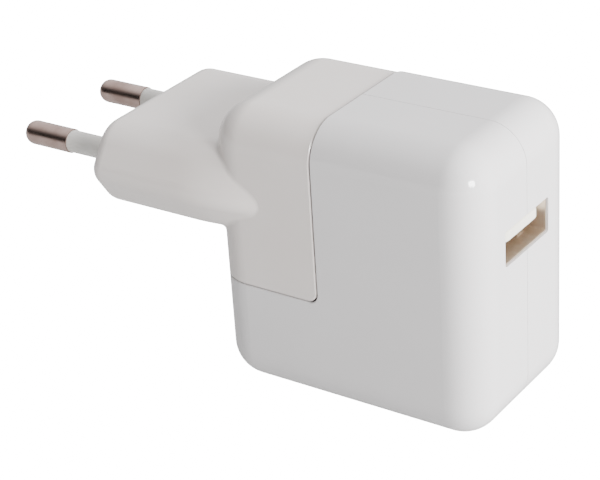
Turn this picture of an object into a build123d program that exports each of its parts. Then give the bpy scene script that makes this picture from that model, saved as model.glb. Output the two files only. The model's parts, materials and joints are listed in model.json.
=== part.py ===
from build123d import *
import math
import os

# USB wall charger: a rounded housing with a USB-A receptacle, and a slide-off two-pin plug head
# that fills one upper corner. Millimetres, +Z up. The origin is the centre of the housing's
# bottom face, +X points out of the receptacle and the plug pins point along -X.

# ---- housing ----
WIDTH = 46.5            # along X
THICK = 29.5            # along Y
HEIGHT = 46.5           # along Z
CORNER_R = 6.0          # every outer edge
WALL = 2.0

# ---- corner seam between housing and plug head ----
SEAM_X = -4.15
SEAM_Z = 18.0
SEAM_R = 1.6
SEAM_GAP = 0.2
HEAD_STEP = 0.25        # the plug head's top lies this much lower
SEAM_BREAK = 0.15       # broken edge along the seam

# ---- half shells ----
TONGUE_OUT = 0.6        # tongue's outer face, from the outer skin
TONGUE_IN = 1.4
TONGUE_TALL = 0.8
GROOVE_PLAY = 0.1
PART_LINE = 0.1         # width and depth of the fine line where the halves meet

# ---- USB receptacle ----
PORT_Z = 30.0
PORT_W = 12.5           # opening inside the metal shell, along Y
PORT_H = 5.12           # along Z
PORT_SHEET = 0.25
PORT_PLAY = 0.05
PORT_RECESS = 0.35
PORT_DEEP = 14.0
TONGUE_W = 11.1
TONGUE_T = 1.84
TONGUE_CORNER = 1.7     # seen from above
TONGUE_NOSE = 0.45      # rounding of the front edges
TONGUE_DROP = 0.72      # opening's top to the tongue's top
TONGUE_RECESS = 0.8
CONTACT_Y = (-3.5, -1.0, 1.0, 3.5)
CONTACT_W = 1.0
CONTACT_T = 0.2
TAB_Y = 3.3             # centres of the shell's spring tabs
TAB_W = 2.2
TAB_GAP = 0.3
TAB_FRONT = 3.0         # from the shell's front edge
TAB_LEN = 5.9
PEG_X = (9.0, 7.6)      # the shell's two feet, from its front edge

# ---- plug body ----
PLUG_Z = 32.6           # height of the pins and of the body's side ridges
BODY_W = 35.3           # across the side ridges
BODY_H = 13.7
FLAT_W = 26.1           # across the top flat
RIDGE_R = 3.0
FLAT_R = 5.5
FACE_X = -44.2          # engagement face
FACE_R = 2.4
TAPER_X = -27.0         # the sides start to curve in here
TAPER_R = 30.8
TAPER_END = -11.0
CREASE_R = 1.0          # fillet between plug body and corner block
RIDGE_DIP = 1.3         # the ridge sinks this much where it meets the corner block

# ---- pins ----
PIN_Y = 9.55            # half the distance between the pins
PIN_R = 2.0
PIN_CORE_R = 1.5
PIN_LEN = 19.0
METAL_LEN = 9.4
SLEEVE_R = 1.83
SLEEVE_SEAT = 2.0       # depth of the sleeve's end in the plug body
PIN_REAR = -15.3
COLLAR_R = 2.4
COLLAR_X = (6.0, 8.0)   # behind the engagement face
RIVET_R = 1.1
RIVET_LEN = 1.2

# ---- inlet in the notch floor and the boss that enters it ----
INLET_X = -13.5
INLET_HALF_X = 3.5
INLET_HALF_Y = 6.6
INLET_FLOOR = 8.0
INLET_WALL = 1.0
PRONG_Y = 4.3
PRONG_R = 1.2
PRONG_TOP = 16.4
BOSS_PLAY = 0.3
FLANGE_T = 1.4          # flanges of the inlet and of the boss
FLANGE_OUT = 1.2
SPLIT = 0.5             # slit in each contact sleeve

# ---- locking stud ----
STUD_Z = 31.5
STUD_R = 2.0
STUD_HEAD_R = 3.5
STUD_HEAD_X = (-9.6, -8.0)
PEEN_R = 2.8
PEEN_T = 0.6
WASHER_R = 4.5
WASHER_T = 0.8
SLOT_PLAY = 0.25

# ---- plug head cavity ----
CAV_X = -20.4
CAV_Y = 12.25
CAV_Z = (20.4, 43.6)
COVER_T = 1.4
TRACK_X = (-7.85, -7.4)
TRACK_Y = 10.5
TRACK_TOP = 42.5
RAIL_Y = 9.0            # ribs on the cover that carry the track plate
RAIL_W = 2.0
RAIL_Z = (22.0, 42.0)
LEAF_X = (-6.9, -6.1)
LEAF_Y = 4.6            # root of each latch leaf
LEAF_T = 0.4
LEAF_Z = (23.4, 38.6)   # free end and root
EYE_R = 1.1
EYE_BORE = 0.6
POST_R = 0.55
LOBE_Z = 26.6
LOBE_R = 2.15
LOBE_REACH = 2.45       # the lobe stops this far from the centre
LINK_T = 0.6
LINK_Y = (3.0, 7.6, 11.4)

# ---- boards ----
BOARD_T = 1.6
BOARD_R = 3.4
PRIMARY_Z = 3.6
PRIMARY_X = (-20.0, 20.1)
PRIMARY_Y = 11.5        # half width
SECONDARY_Z = 25.4
SECONDARY_X = (-1.4, 20.6)
SECONDARY_Y = 12.0
BOARD_TOP = PRIMARY_Z + BOARD_T
USB_TOP = SECONDARY_Z + BOARD_T
FILM_T = 0.3            # insulating film under the secondary board
FILM_Z = SECONDARY_Z - 0.5
LINK_PIN_X = (12.0, 18.8)
LINK_PIN_Y = 10.6
LINK_PIN_W = 0.7
HOLE_PLAY = 0.25

# ---- transformer ----
TRAFO_X = (10.4, 20.4)
TRAFO_Y = 8.8
TRAFO_Z = (6.4, 24.2)
CORE_LEG = 2.4          # thickness of the ferrite frame
CORE_INSET = 1.6
CENTRE_LEG_R = 2.6
BOBBIN_R = 3.2
BOBBIN_T = 0.8
COIL_R = 4.7

# ---- other parts on the boards: x, y, then sizes ----
BULK_CAN = (4.4, 5.6, 5.0, 18.6)        # radius, height
OUTPUT_CAN = (3.4, 7.6, 3.15, 11.0)
CHOKE = (-5.4, -6.4, 4.2, 2.3, 3.6)     # outer radius, inner radius, thickness
CHOKE_WIRE = 0.5
CHOKE_TURNS = 12
DRUM = (-5.4, 2.2, 4.0, 2.6, 2.1, 7.0)  # cut radius, flange radius, waist radius, height
BRIDGE = (-7.8, -3.2, 6.4, 11.6, 2.6)   # x0, x1, y0, y1, height
FUSE = (-19.0, -10.0, 10.2, 1.8)        # x0, x1, y, radius
Y_CAP = (-14.0, -11.7, -8.7, 4.0, 3.8)  # x, y0, y1, height of its centre, radius
SPREADER = (0.5, 10.9, 11.3, 12.0)      # x0, x1, y0, y1
TRANSISTOR = (4.0, 10.0, 0.6, 8.0, 14.0)        # x0, x1, thickness, z0, z1
CONTROLLER = (-1.0, 4.0, 2.0, 1.35)     # x0, x1, half width, thickness
OPTO = (9.6, 16.0, 7.2, 9.6, 3.4)       # x0, x1, y0, y1, height
RECTIFIER = (0.6, 6.2, 2.4, 1.6)        # x0, x1, half width, height


def block(x0, x1, y0, y1, z0, z1):
    """Box between two corners; y0 and y1 may be either way round."""
    return Pos((x0 + x1) / 2, (y0 + y1) / 2, (z0 + z1) / 2) * Box(x1 - x0, abs(y1 - y0), z1 - z0)


def rod_x(x0, x1, y, z, radius):
    """Round bar along X."""
    return Pos((x0 + x1) / 2, y, z) * Rot(0, 90, 0) * Cylinder(radius, x1 - x0)


def rod_y(x, y0, y1, z, radius):
    """Round bar along Y."""
    return Pos(x, (y0 + y1) / 2, z) * Rot(90, 0, 0) * Cylinder(radius, y1 - y0)


def rod_z(x, y, z0, z1, radius):
    """Round bar along Z."""
    return Pos(x, y, (z0 + z1) / 2) * Cylinder(radius, z1 - z0)


def stadium(half_x, half_y, z0, z1):
    """Upright column with two round ends along Y, on the inlet's axis."""
    outline = Pos(INLET_X, 0, z0) * SlotOverall(2 * half_y, 2 * half_x, rotation=90)
    return extrude(outline, amount=z1 - z0, dir=(0, 0, 1))


def rounded_block(width, thick, z0, z1, radius):
    """Box centred on the Z axis with every edge rounded."""
    body = block(-width / 2, width / 2, -thick / 2, thick / 2, z0, z1)
    return fillet(body.edges(), radius)


def corner_tool(x_face, z_face, radius):
    """Everything on the plug side of x_face and above z_face."""
    tool = block(-80, x_face, -40, 40, z_face, 90)
    edge = tool.edges().filter_by(Axis.Y).group_by(Axis.X)[-1].sort_by(Axis.Z)[0]
    return fillet(edge, radius)


def side_outline(inset):
    """The housing's outline seen along Y, moved inwards, with the notch cut out."""
    body = Pos(0, HEIGHT / 2) * RectangleRounded(WIDTH - 2 * inset, HEIGHT - 2 * inset, CORNER_R - inset)
    x_face = SEAM_X + inset
    z_face = SEAM_Z - inset
    notch = Pos(x_face - 40, z_face + 40) * RectangleRounded(80, 80, SEAM_R + inset)
    return body - notch


def outline_ring(outer, inner, y0, y1):
    """A band that follows the housing's outline between two insets."""
    plane = Plane(origin=(0, y0, 0), x_dir=(1, 0, 0), z_dir=(0, -1, 0))
    ring = plane * (side_outline(outer) - side_outline(inner))
    return extrude(ring, amount=y1 - y0, dir=(0, 1, 0))


def housing_walls():
    """The whole housing wall before it is split into its halves."""
    outer = rounded_block(WIDTH, THICK, 0, HEIGHT, CORNER_R) - corner_tool(SEAM_X, SEAM_Z, SEAM_R)
    inner = rounded_block(WIDTH - 2 * WALL, THICK - 2 * WALL, WALL, HEIGHT - WALL, CORNER_R - WALL)
    inner -= corner_tool(SEAM_X + WALL, SEAM_Z - WALL, SEAM_R + WALL)
    port_y = PORT_W / 2 + PORT_SHEET + PORT_PLAY
    port_z = PORT_H / 2 + PORT_SHEET + PORT_PLAY
    port = block(WIDTH / 2 - 4, WIDTH / 2 + 2, -port_y, port_y, PORT_Z - port_z, PORT_Z + port_z)
    port = fillet(port.edges().filter_by(Axis.X), 0.5)
    inlet = stadium(INLET_HALF_X + INLET_WALL, INLET_HALF_Y + INLET_WALL, SEAM_Z - 4, SEAM_Z + 4)
    stud = rod_x(SEAM_X - 2, SEAM_X + 4, 0, STUD_Z, STUD_R)
    return outer - inner, port + inlet + stud


def broken_edges(body, x_face, z_face):
    """Break the sharp outer edges of the faces at the corner seam."""
    faces = body.faces().filter_by(Axis.X).filter_by(lambda f: abs(f.center().X - x_face) < 0.01)
    faces += body.faces().filter_by(Axis.Z).filter_by(lambda f: abs(f.center().Z - z_face) < 0.01)
    limit = THICK / 2 - CORNER_R - 0.01
    edges = [e for f in faces for e in f.outer_wire().edges() if abs(e.center().Y) > limit]
    return chamfer(edges, SEAM_BREAK)


def half_shells():
    """The two half shells, with a tongue on the near one and a groove in the far one."""
    walls, openings = housing_walls()
    line = outline_ring(0, PART_LINE, -PART_LINE / 2, PART_LINE / 2)
    tongue = outline_ring(TONGUE_OUT, TONGUE_IN, -0.1, TONGUE_TALL)
    play = GROOVE_PLAY
    groove = outline_ring(TONGUE_OUT - play, TONGUE_IN + play, -0.1, TONGUE_TALL + play)
    near = walls & block(-60, 60, -60, 0, -10, 90)
    far = walls & block(-60, 60, 0, 60, -10, 90)
    near = near + tongue - openings - line
    far = far - groove - openings - line
    return broken_edges(near, SEAM_X, SEAM_Z), broken_edges(far, SEAM_X, SEAM_Z)


def locking_stud():
    """Mushroom stud that the plug head hangs on."""
    head = rod_x(STUD_HEAD_X[0], STUD_HEAD_X[1], 0, STUD_Z, STUD_HEAD_R)
    head = chamfer(head.edges().sort_by(Axis.X)[0], 0.6)
    shank = rod_x(STUD_HEAD_X[1], SEAM_X + WALL + WASHER_T, 0, STUD_Z, STUD_R)
    behind = SEAM_X + WALL + WASHER_T
    peen = rod_x(behind, behind + PEEN_T, 0, STUD_Z, PEEN_R)
    return head + shank + peen


def stud_retainer():
    """Steel washer behind the notch wall."""
    x0 = SEAM_X + WALL
    return rod_x(x0, x0 + WASHER_T, 0, STUD_Z, WASHER_R) - rod_x(x0 - 1, x0 + 2, 0, STUD_Z, STUD_R)


def inlet_carrier():
    """Two-prong inlet cup set in the notch floor."""
    outer = stadium(INLET_HALF_X + INLET_WALL, INLET_HALF_Y + INLET_WALL, INLET_FLOOR - 1.5, SEAM_Z)
    rim = INLET_WALL + 0.9
    under = SEAM_Z - WALL
    flange = stadium(INLET_HALF_X + rim, INLET_HALF_Y + rim, under - FLANGE_T, under)
    cup = stadium(INLET_HALF_X, INLET_HALF_Y, INLET_FLOOR, SEAM_Z + 1)
    body = outer + flange - cup
    for side in (-1, 1):
        body -= rod_z(INLET_X, side * PRONG_Y, 0, INLET_FLOOR + 1, PRONG_R)
    return body


def inlet_prongs():
    """The two prongs, soldered to the primary board."""
    prongs = []
    for side in (-1, 1):
        prong = rod_z(INLET_X, side * PRONG_Y, PRIMARY_Z - 1.0, PRONG_TOP, PRONG_R)
        prongs.append(fillet(prong.edges().sort_by(Axis.Z)[-1], 0.9))
    return prongs


def usb_shell():
    """Folded steel shell of the receptacle, with its spring tabs cut free."""
    front = WIDTH / 2 - PORT_RECESS
    rear = front - PORT_DEEP
    half_y = PORT_W / 2
    half_z = PORT_H / 2
    outer = block(rear, front, -half_y - PORT_SHEET, half_y + PORT_SHEET,
                  PORT_Z - half_z - PORT_SHEET, PORT_Z + half_z + PORT_SHEET)
    outer = fillet(outer.edges().filter_by(Axis.X), 0.5)
    inner = block(rear + PORT_SHEET, front + 1, -half_y, half_y, PORT_Z - half_z, PORT_Z + half_z)
    inner = fillet(inner.edges().filter_by(Axis.X), 0.3)
    shell = outer - inner
    tab_x = front - TAB_FRONT
    tab_y = TAB_W / 2
    peg_z = PORT_Z - half_z - PORT_SHEET
    for side in (-1, 1):
        y = side * TAB_Y
        slot = block(tab_x - TAB_LEN - TAB_GAP, tab_x, y - tab_y - TAB_GAP, y + tab_y + TAB_GAP,
                     PORT_Z - half_z - 1, PORT_Z + half_z + 1)
        tab = block(tab_x - TAB_LEN, tab_x + 1, y - tab_y, y + tab_y,
                    PORT_Z - half_z - 1, PORT_Z + half_z + 1)
        shell -= slot - tab
        peg_y = side * (half_y - 0.6)
        shell += block(front - PEG_X[0], front - PEG_X[1], peg_y - 0.2, peg_y + 0.2,
                       SECONDARY_Z - 0.4, peg_z)
    return shell


def usb_tongue():
    """Plastic tongue with the base block that closes the shell's rear."""
    front = WIDTH / 2 - TONGUE_RECESS
    rear = WIDTH / 2 - PORT_RECESS - PORT_DEEP + PORT_SHEET
    top = PORT_Z + PORT_H / 2 - TONGUE_DROP
    half_y = PORT_W / 2
    blade = block(rear, front, -TONGUE_W / 2, TONGUE_W / 2, top - TONGUE_T, top)
    blade = fillet(blade.edges().filter_by(Axis.Z).group_by(Axis.X)[-1], TONGUE_CORNER)
    nose_x = front - TONGUE_CORNER
    rim = blade.faces().sort_by(Axis.Z)[-1].edges() + blade.faces().sort_by(Axis.Z)[0].edges()
    blade = fillet(rim.filter_by(lambda e: e.center().X > nose_x), TONGUE_NOSE)
    base = block(rear, rear + 3.2, -half_y, half_y, PORT_Z - PORT_H / 2, PORT_Z + PORT_H / 2)
    base = fillet(base.edges().filter_by(Axis.X), 0.3)
    return blade + base


def usb_contacts():
    """Four contact blades in grooves under the tongue."""
    front = WIDTH / 2 - TONGUE_RECESS
    rear = WIDTH / 2 - PORT_RECESS - PORT_DEEP + PORT_SHEET
    under = PORT_Z + PORT_H / 2 - TONGUE_DROP - TONGUE_T
    blades = []
    for y in CONTACT_Y:
        reach = 1.4 if abs(y) > 2 else 2.4
        half = CONTACT_W / 2
        strip = block(rear + 3.2, front - reach, y - half, y + half, under - CONTACT_T, under)
        nose = rod_y(front - reach - 1.6, y - half, y + half, under - CONTACT_T, 0.3)
        nose &= block(0, 60, -20, 20, under - 2, under)
        blades.append(strip + nose)
    return blades


def plug_section(x, ridge_y, dip):
    """Six-sided section of the plug body with rounded corners."""
    slope = math.atan2(BODY_H, BODY_W - FLAT_W)
    wide = ridge_y + RIDGE_R * (1 / math.sin(slope) - 1)
    flat = wide - (BODY_W - FLAT_W) / 2
    top = BODY_H / 2
    points = [(wide, -dip), (flat, top), (-flat, top), (-wide, -dip), (-flat, -top), (flat, -top)]
    outline = Polygon(*points, align=None)
    corners = outline.vertices()
    ridges = [v for v in corners if abs(abs(v.X) - wide) < 0.001]
    outline = fillet(ridges, RIDGE_R)
    corners = outline.vertices()
    flats = [v for v in corners if abs(abs(v.Y) - top) < 0.001]
    outline = fillet(flats, FLAT_R)
    return Plane(origin=(x, 0, PLUG_Z), x_dir=(0, 1, 0), z_dir=(1, 0, 0)) * outline


def plug_body():
    """Flat six-sided body that carries the pins; its sides curve in and die out on the block."""
    half = BODY_W / 2
    straight = extrude(plug_section(FACE_X, half, 0), amount=TAPER_X - FACE_X, dir=(1, 0, 0))
    straight = fillet(straight.faces().sort_by(Axis.X)[0].edges(), FACE_R)
    steps = 6
    sections = []
    for i in range(steps + 1):
        run = (TAPER_END - TAPER_X) * i / steps
        drop = TAPER_R - math.sqrt(TAPER_R ** 2 - run ** 2)
        dip = RIDGE_DIP * (run / (TAPER_END - TAPER_X)) ** 2
        sections.append(plug_section(TAPER_X + run, half - drop, dip))
    return straight + loft(sections)


def corner_block():
    """The rounded corner of the cube that belongs to the plug head."""
    outer = rounded_block(WIDTH, THICK, 0, HEIGHT - HEAD_STEP, CORNER_R)
    return outer & corner_tool(SEAM_X - SEAM_GAP, SEAM_Z + SEAM_GAP, SEAM_R)


def head_cavity():
    """The room inside the plug head, open towards the housing."""
    return block(CAV_X, 0, -CAV_Y, CAV_Y, CAV_Z[0], CAV_Z[1])


def stud_way(extra):
    """The T-shaped way that the stud travels, open at the bottom."""
    neck = STUD_R + SLOT_PLAY + extra
    head = STUD_HEAD_R + SLOT_PLAY + extra
    way = block(STUD_HEAD_X[1] - 1, SEAM_X + 1, -neck, neck, 0, STUD_Z)
    way += rod_x(STUD_HEAD_X[1] - 1, SEAM_X + 1, 0, STUD_Z, neck)
    x0 = STUD_HEAD_X[0] - SLOT_PLAY
    x1 = STUD_HEAD_X[1] + SLOT_PLAY / 2
    way += block(x0, x1, -head, head, 0, STUD_Z)
    way += rod_x(x0, x1, 0, STUD_Z, head)
    return way


def pin_solid(side):
    """Turned pin: head, core inside the sleeve, anchoring collar and riveted end."""
    y = side * PIN_Y
    tip = FACE_X - PIN_LEN
    head = rod_x(tip, tip + METAL_LEN, y, PLUG_Z, PIN_R)
    head = fillet(head.edges().sort_by(Axis.X)[0], PIN_R - 0.25)
    core = rod_x(tip + METAL_LEN, PIN_REAR, y, PLUG_Z, PIN_CORE_R)
    collar = rod_x(FACE_X + COLLAR_X[0], FACE_X + COLLAR_X[1], y, PLUG_Z, COLLAR_R)
    rivet = rod_x(PIN_REAR, PIN_REAR + RIVET_LEN, y, PLUG_Z, RIVET_R)
    return head + core + collar + rivet


def pin_sleeve(side):
    """Insulating sleeve on the pin's root."""
    y = side * PIN_Y
    x0 = FACE_X - PIN_LEN + METAL_LEN
    sleeve = rod_x(x0, FACE_X + SLEEVE_SEAT, y, PLUG_Z, SLEEVE_R)
    return sleeve - rod_x(x0 - 1, FACE_X + 3, y, PLUG_Z, PIN_CORE_R)


def plug_housing():
    """Corner block and plug body in one moulding, with a small fillet where they meet."""
    corner = corner_block()
    arm = plug_body()
    body = corner + arm
    body = fillet(new_edges(corner, arm, combined=body), CREASE_R)
    body -= head_cavity()
    body -= stud_way(0) & block(-60, 0, -40, 40, 0, CAV_Z[0] + 1)
    body -= stadium(INLET_HALF_X - BOSS_PLAY, INLET_HALF_Y - BOSS_PLAY, SEAM_Z - 4, CAV_Z[0] + 1)
    for side in (-1, 1):
        body -= pin_solid(side)
        body -= rod_x(FACE_X - 1, FACE_X + SLEEVE_SEAT, side * PIN_Y, PLUG_Z, SLEEVE_R)
    return broken_edges(body, SEAM_X - SEAM_GAP, SEAM_Z + SEAM_GAP)


def slot_cover():
    """Panel that closes the plug head and holds the track plate and the latch leaves."""
    x1 = SEAM_X - SEAM_GAP
    x0 = x1 - COVER_T
    panel = block(x0, x1, -CAV_Y, CAV_Y, CAV_Z[0], CAV_Z[1]) - stud_way(0)
    for side in (-1, 1):
        y = side * RAIL_Y
        panel += block(TRACK_X[1], x0, y - RAIL_W / 2, y + RAIL_W / 2, RAIL_Z[0], RAIL_Z[1])
        panel += rod_x(TRACK_X[1], x0, side * LEAF_Y, LEAF_Z[1], POST_R)
    return panel


def track_plate():
    """Steel plate whose slot edge the stud's head bears on."""
    plate = block(TRACK_X[0], TRACK_X[1], -TRACK_Y, TRACK_Y, CAV_Z[0] + 0.1, TRACK_TOP)
    return plate - stud_way(0.05)


def latch_leaf(side):
    """Spring leaf that grips the stud's neck from one side."""
    x0, x1 = LEAF_X
    foot, root = LEAF_Z
    outside = LEAF_Y + 0.15
    strip = block(x0, x1, outside - LEAF_T, outside, foot, root)
    strip -= rod_x(x0 - 1, x1 + 1, LEAF_Y, root, EYE_R - 0.2)
    eye = rod_x(x0, x1, LEAF_Y, root, EYE_R) - rod_x(x0 - 1, x1 + 1, LEAF_Y, root, EYE_BORE)
    lobe = rod_x(x0, x1, LEAF_Y, LOBE_Z, LOBE_R)
    lobe &= block(x0, x1, LOBE_REACH, outside, LOBE_Z - 5, LOBE_Z + 5)
    leaf = strip + eye + lobe
    return leaf if side > 0 else mirror(leaf, Plane.XZ)


def socket_boss():
    """Insulating boss that enters the inlet; its flange stops short of the stud's way."""
    half_x = INLET_HALF_X - BOSS_PLAY
    half_y = INLET_HALF_Y - BOSS_PLAY
    column = stadium(half_x, half_y, INLET_FLOOR + 1.0, CAV_Z[0])
    column = chamfer(column.faces().sort_by(Axis.Z)[0].edges(), 0.2)
    flange = stadium(half_x + FLANGE_OUT, half_y + FLANGE_OUT, CAV_Z[0], CAV_Z[0] + FLANGE_T)
    flange &= block(-60, STUD_HEAD_X[0] - SLOT_PLAY, -20, 20, 0, HEIGHT)
    body = column + flange
    for side in (-1, 1):
        body -= rod_z(INLET_X, side * PRONG_Y, 0, 40, PRONG_R + 0.4)
    return body


def socket_contacts():
    """Split sleeves that slide over the prongs."""
    sleeves = []
    for side in (-1, 1):
        y = side * PRONG_Y
        top = CAV_Z[0] + FLANGE_T
        tube = rod_z(INLET_X, y, INLET_FLOOR + 1.4, top, PRONG_R + 0.4)
        tube -= rod_z(INLET_X, y, INLET_FLOOR, top - 0.5, PRONG_R + 0.05)
        tube -= block(INLET_X - SPLIT / 2, INLET_X + SPLIT / 2, y, y + side * 3, INLET_FLOOR, CAV_Z[0] - 1)
        sleeves.append(tube)
    return sleeves


def contact_links():
    """Bent strips from the sleeves up to the riveted ends of the pins."""
    links = []
    base = CAV_Z[0] + FLANGE_T
    inner, riser_y, outer = LINK_Y
    for side in (-1, 1):
        foot = block(PIN_REAR, INLET_X + 1.6, side * inner, side * outer, base, base + LINK_T)
        riser = block(PIN_REAR, PIN_REAR + LINK_T, side * riser_y, side * outer, base, PLUG_Z + 3)
        links.append(foot + riser - rod_x(PIN_REAR - 1, PIN_REAR + 2, side * PIN_Y, PLUG_Z, RIVET_R))
    return links


def board(span_x, half_y, z0, thick, holes):
    """Sheet with rounded corners and its lead holes, given as x, y and radius."""
    plate = block(span_x[0], span_x[1], -half_y, half_y, z0, z0 + thick)
    plate = fillet(plate.edges().filter_by(Axis.Z), BOARD_R)
    for x, y, radius in holes:
        plate -= rod_z(x, y, z0 - 1, z0 + thick + 1, radius)
    return plate


def can_capacitor(x, y, radius, tall, z):
    """Electrolytic can: rolled groove near its foot and a scored top."""
    can = rod_z(x, y, z, z + tall, radius)
    can = fillet(can.edges().sort_by(Axis.Z)[-1], 0.6)
    ring = rod_z(x, y, z + 1.6, z + 2.3, radius + 1) - rod_z(x, y, z + 1.6, z + 2.3, radius - 0.35)
    score = block(x - radius * 0.7, x + radius * 0.7, y - 0.15, y + 0.15, z + tall - 0.2, z + tall + 1)
    return can - ring - score


def can_pair(sizes, z):
    """Two equal cans, one on each side of the centre plane."""
    x, y, radius, tall = sizes
    return [can_capacitor(x, side * y, radius, tall, z) for side in (-1, 1)]


def choke_core():
    """Ring core with its axis along X."""
    x, y, big, small, tall = CHOKE
    z = BOARD_TOP + big + 2 * CHOKE_WIRE + 0.1
    return rod_x(x - tall / 2, x + tall / 2, y, z, big) - rod_x(x - tall, x + tall, y, z, small)


def choke_windings():
    """Square-section wire loops around the ring core."""
    x, y, big, small, tall = CHOKE
    z = BOARD_TOP + big + 2 * CHOKE_WIRE + 0.1
    wire = CHOKE_WIRE
    middle = (big + small) / 2
    loops = []
    for index in range(CHOKE_TURNS):
        angle = 360 / CHOKE_TURNS * (index + 0.5)
        outer = Box(tall + 2 * wire, big - small + 2 * wire, wire * 1.6)
        inner = Box(tall + 0.1, big - small + 0.2, wire * 3)
        loops.append(Pos(x, y, z) * Rot(angle, 0, 0) * Pos(0, middle, 0) * (outer - inner))
    return loops


def transformer_core():
    """Ferrite frame with its middle leg."""
    x0, x1 = TRAFO_X
    z0, z1 = TRAFO_Z
    frame = block(x0 + CORE_INSET, x1 - CORE_INSET, -TRAFO_Y, TRAFO_Y, z0, z1)
    frame -= block(x0, x1, -TRAFO_Y + CORE_LEG, TRAFO_Y - CORE_LEG, z0 + CORE_LEG, z1 - CORE_LEG)
    leg = rod_z((x0 + x1) / 2, 0, z0 + CORE_LEG, z1 - CORE_LEG, CENTRE_LEG_R)
    return frame + leg


def transformer_bobbin():
    """Bobbin tube and its two flanges."""
    x0, x1 = TRAFO_X
    low = TRAFO_Z[0] + CORE_LEG
    high = TRAFO_Z[1] - CORE_LEG
    xm = (x0 + x1) / 2
    half_y = TRAFO_Y - CORE_LEG - 0.2
    tube = rod_z(xm, 0, low, high, BOBBIN_R)
    for z in (low, high - BOBBIN_T):
        tube += block(x0 + 0.2, x1 - 0.2, -half_y, half_y, z, z + BOBBIN_T)
    return tube - rod_z(xm, 0, low - 1, high + 1, CENTRE_LEG_R)


def transformer_winding():
    """Wound wire, taped."""
    xm = (TRAFO_X[0] + TRAFO_X[1]) / 2
    low = TRAFO_Z[0] + CORE_LEG + BOBBIN_T
    high = TRAFO_Z[1] - CORE_LEG - BOBBIN_T
    return rod_z(xm, 0, low, high, COIL_R) - rod_z(xm, 0, low - 1, high + 1, BOBBIN_R)


def filter_inductor():
    """Small drum inductor on the primary board."""
    x, y, cut, big, waist, tall = DRUM
    drum = rod_z(x, y, BOARD_TOP, BOARD_TOP + tall, big)
    low = BOARD_TOP + 1.0
    high = BOARD_TOP + tall - 1.0
    return drum - (rod_z(x, y, low, high, cut) - rod_z(x, y, low, high, waist))


def chip(x0, x1, y0, y1, z0, z1):
    """Moulded package with drafted edges."""
    body = block(x0, x1, y0, y1, z0, z1)
    return chamfer(body.edges(), 0.15)


def board_parts():
    """The plain packages and small parts on the two boards."""
    bx0, bx1, by0, by1, bridge_tall = BRIDGE
    fx0, fx1, fuse_y, fuse_r = FUSE
    cap_x, cap_y0, cap_y1, cap_z, cap_r = Y_CAP
    sx0, sx1, sy0, sy1 = SPREADER
    tx0, tx1, trans_t, tz0, tz1 = TRANSISTOR
    cx0, cx1, chip_y, chip_t = CONTROLLER
    ox0, ox1, oy0, oy1, opto_tall = OPTO
    rx0, rx1, rect_y, rect_tall = RECTIFIER
    disc = rod_y(cap_x, cap_y0, cap_y1, BOARD_TOP + cap_z, cap_r)
    return {
        "bridge_rectifier": chip(bx0, bx1, by0, by1, BOARD_TOP, BOARD_TOP + bridge_tall),
        "fuse": rod_x(fx0, fx1, fuse_y, BOARD_TOP + fuse_r, fuse_r),
        "y_capacitor": fillet(disc.edges(), 1.2),
        "primary_heat_spreader": block(sx0, sx1, sy0, sy1, BOARD_TOP, SECONDARY_Z - 0.8),
        "switching_transistor": chip(tx0, tx1, sy0 - trans_t, sy0, tz0, tz1),
        "controller_chip": chip(cx0, cx1, -chip_y, chip_y, PRIMARY_Z - chip_t, PRIMARY_Z),
        "optocoupler": chip(ox0, ox1, oy0, oy1, USB_TOP, USB_TOP + opto_tall),
        "output_rectifier": chip(rx0, rx1, -rect_y, rect_y, USB_TOP, USB_TOP + rect_tall),
    }


def board_link_pins():
    """Square posts that carry the secondary leads up to the USB board."""
    half = LINK_PIN_W / 2
    low = PRIMARY_Z - 0.6
    high = USB_TOP + 0.8
    return [block(x - half, x + half, y - half, y + half, low, high)
            for x in LINK_PIN_X for y in (-LINK_PIN_Y, LINK_PIN_Y)]


def boards():
    """The two boards and the film under the upper one."""
    links = [(x, y, LINK_PIN_W / 2 + HOLE_PLAY) for x in LINK_PIN_X for y in (-LINK_PIN_Y, LINK_PIN_Y)]
    prongs = [(INLET_X, side * PRONG_Y, PRONG_R) for side in (-1, 1)]
    peg_x = WIDTH / 2 - PORT_RECESS - (PEG_X[0] + PEG_X[1]) / 2
    pegs = [(peg_x, side * (PORT_W / 2 - 0.6), 0.8) for side in (-1, 1)]
    return {
        "primary_board": board(PRIMARY_X, PRIMARY_Y, PRIMARY_Z, BOARD_T, prongs + links),
        "secondary_board": board(SECONDARY_X, SECONDARY_Y, SECONDARY_Z, BOARD_T, links + pegs),
        "insulation_sheet": board(SECONDARY_X, SECONDARY_Y, FILM_Z, FILM_T, links + pegs),
    }


def save(name, shape):
    """Write one node."""
    if isinstance(shape, list):
        shape = Compound([solid for piece in shape for solid in piece.solids()])
    export_step(shape, os.path.join("parts", name + ".step"))


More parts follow.
